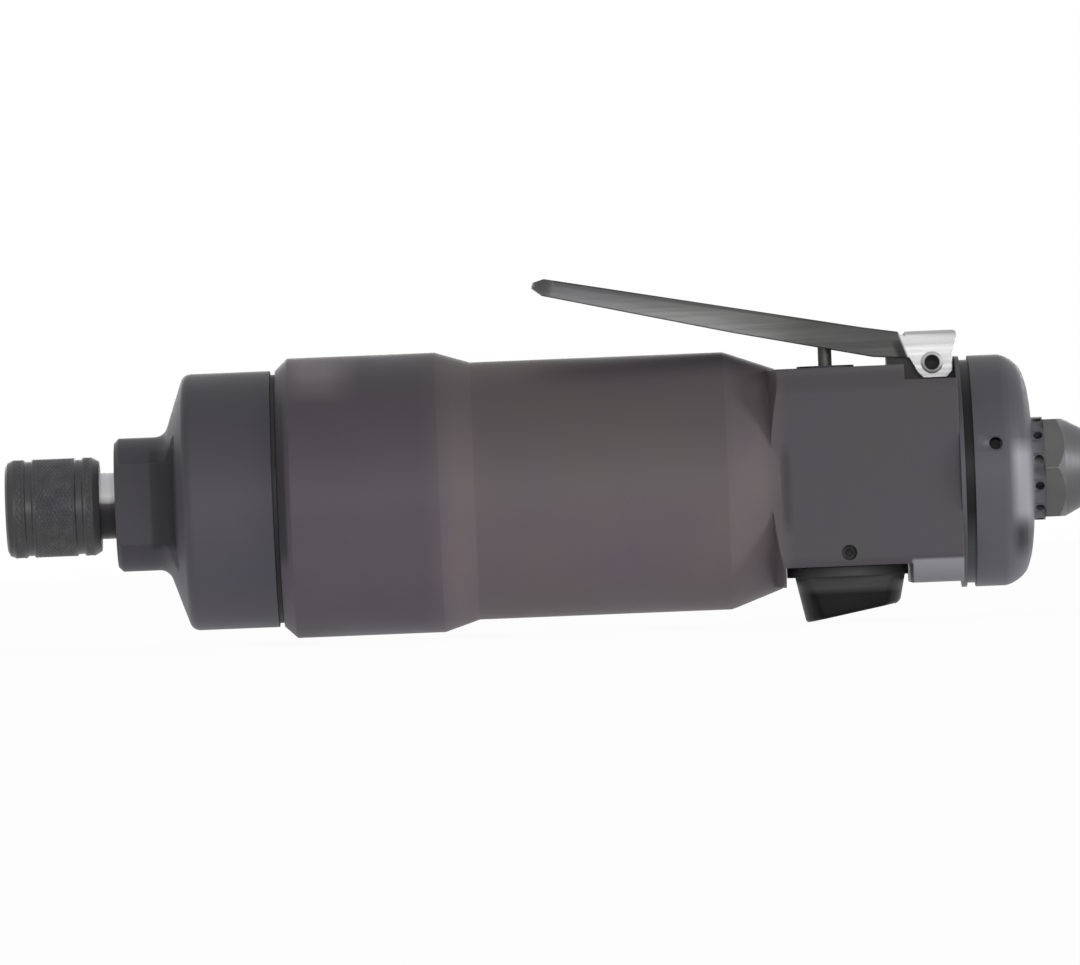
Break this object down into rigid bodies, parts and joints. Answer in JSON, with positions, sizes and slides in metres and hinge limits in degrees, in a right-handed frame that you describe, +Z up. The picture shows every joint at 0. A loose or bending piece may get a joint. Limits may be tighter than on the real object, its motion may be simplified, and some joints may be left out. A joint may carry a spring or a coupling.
{
  "type": "pneumatic screwdriver",
  "caption": "Straight lever-start air screwdriver with a round grip, a squarish valve block, a reverse knob, a hexagonal air inlet and a quick-change bit chuck.",
  "frame": {"origin": "centre of the air inlet's mouth, on the tool axis", "axes": "+X along the tool axis, out of the air inlet, so the bit end points to -X; +Z up, towards the throttle lever"},
  "size_m": [0.1883, 0.0488, 0.0618],
  "materials": {
    "housing_paint": "matte, lightly grained dark grey paint",
    "case_paint": "matte dark grey paint over a forged case",
    "cap_paint": "satin dark grey paint",
    "blackened_steel": "blackened, turned",
    "anvil_steel": "ground, oiled",
    "mechanism_steel": "heat treated, oiled",
    "motor_iron": "ground faces",
    "bearing_steel": "ground",
    "ball_steel": "polished",
    "lever_steel": "pressed sheet, plain",
    "spring_steel": "drawn wire",
    "screw_steel": "blackened",
    "inlet_steel": "dull plated",
    "bearing_bronze": "turned bronze",
    "seal_rubber": "matt",
    "knob_plastic": "moulded, black",
    "vane_composite": "laminated fibre"
  },
  "bodies": {
    "housing": {"hammer_case": "case_paint", "case_seal": "seal_rubber", "motor_housing": "housing_paint", "anvil_bushing": "bearing_bronze", "anvil_seal": "seal_rubber", "motor_clamp_ring": "mechanism_steel", "front_end_plate": "motor_iron", "front_bearing_outer": "bearing_steel", "cylinder_liner": "motor_iron", "rear_end_plate": "motor_iron", "rear_bearing_outer": "bearing_steel", "locating_dowel": "bearing_steel", "lever_pin": "screw_steel", "plunger_bushing": "screw_steel", "plunger_seal": "seal_rubber", "valve_seat": "bearing_bronze", "valve_spring": "spring_steel", "reverse_bushing": "bearing_bronze", "detent_ball": "ball_steel", "detent_spring": "spring_steel", "detent_screw": "screw_steel", "rear_cap": "cap_paint", "inlet_bushing": "inlet_steel", "inlet_seal": "seal_rubber", "inlet_screen": "bearing_bronze"},
    "rotor": {"rotor": "mechanism_steel", "rotor_vanes": "vane_composite", "hammer_cage": "mechanism_steel", "dog_pins": "bearing_steel", "front_bearing_inner": "bearing_steel", "rear_bearing_inner": "bearing_steel"},
    "front_balls": {"front_bearing_balls": "ball_steel"},
    "rear_balls": {"rear_bearing_balls": "ball_steel"},
    "dog_upper": {"hammer_dog_upper": "mechanism_steel"},
    "dog_lower": {"hammer_dog_lower": "mechanism_steel"},
    "anvil": {"anvil": "anvil_steel", "chuck_retainer": "spring_steel", "chuck_spring": "spring_steel"},
    "sleeve": {"chuck_sleeve": "blackened_steel"},
    "ball": {"chuck_ball": "ball_steel"},
    "lever": {"throttle_lever": "lever_steel"},
    "plunger": {"throttle_plunger": "bearing_steel"},
    "valve": {"throttle_valve": "bearing_steel", "valve_facing": "seal_rubber"},
    "reverse": {"reverse_valve": "bearing_steel", "reverse_seal": "seal_rubber", "reverse_knob": "knob_plastic", "knob_screw": "screw_steel"}
  },
  "joints": [
    {"name": "rotor_spin", "type": "hinge", "parent": "housing", "child": "rotor", "pos_m": [-0.0873, 0, 0], "axis": [1, 0, 0], "continuous": true},
    {"name": "front_balls_orbit", "type": "hinge", "parent": "housing", "child": "front_balls", "pos_m": [-0.107, 0, 0], "axis": [1, 0, 0], "continuous": true},
    {"name": "rear_balls_orbit", "type": "hinge", "parent": "housing", "child": "rear_balls", "pos_m": [-0.0663, 0, 0], "axis": [1, 0, 0], "continuous": true},
    {"name": "dog_upper_rock", "type": "hinge", "parent": "rotor", "child": "dog_upper", "pos_m": [-0.1373, 0, 0.014], "axis": [1, 0, 0], "range_deg": [-10, 10]},
    {"name": "dog_lower_rock", "type": "hinge", "parent": "rotor", "child": "dog_lower", "pos_m": [-0.1373, 0, -0.014], "axis": [1, 0, 0], "range_deg": [-10, 10]},
    {"name": "anvil_spin", "type": "hinge", "parent": "housing", "child": "anvil", "pos_m": [-0.1603, 0, 0], "axis": [1, 0, 0], "continuous": true},
    {"name": "sleeve_slide", "type": "slide", "parent": "anvil", "child": "sleeve", "axis": [-1, 0, 0], "range_m": [0, 0.0028], "stiffness_N_per_m": 600, "springref_m": -0.004, "deforming": ["chuck_spring"]},
    {"name": "ball_lift", "type": "slide", "parent": "anvil", "child": "ball", "axis": [0, 0, 1], "range_m": [0, 0.0009]},
    {"name": "lever_press", "type": "hinge", "parent": "housing", "child": "lever", "pos_m": [-0.0259, 0, 0.0192], "axis": [0, -1, 0], "range_deg": [0, 6.5], "stiffness_Nm_per_rad": 0.6, "springref_deg": -8.59},
    {"name": "plunger_slide", "type": "slide", "parent": "housing", "child": "plunger", "axis": [0, 0, -1], "range_m": [0, 0.0022]},
    {"name": "valve_tilt", "type": "hinge", "parent": "housing", "child": "valve", "pos_m": [-0.03555, 0, 0.0047], "axis": [0, -1, 0], "range_deg": [0, 6.5], "deforming": ["valve_spring"]},
    {"name": "reverse_turn", "type": "hinge", "parent": "housing", "child": "reverse", "pos_m": [-0.0419, 0, -0.015], "axis": [0, 0, 1], "range_deg": [0, 90]}
  ],
  "couplings": [
    {"joint": "front_balls_orbit", "follows": "rotor_spin", "ratio": 0.3769},
    {"joint": "rear_balls_orbit", "follows": "rotor_spin", "ratio": 0.3769},
    {"joint": "ball_lift", "follows": "sleeve_slide", "ratio": 0.3214},
    {"joint": "plunger_slide", "follows": "lever_press", "m_per_rad": 0.0192},
    {"joint": "valve_tilt", "follows": "lever_press", "ratio": 1}
  ]
}
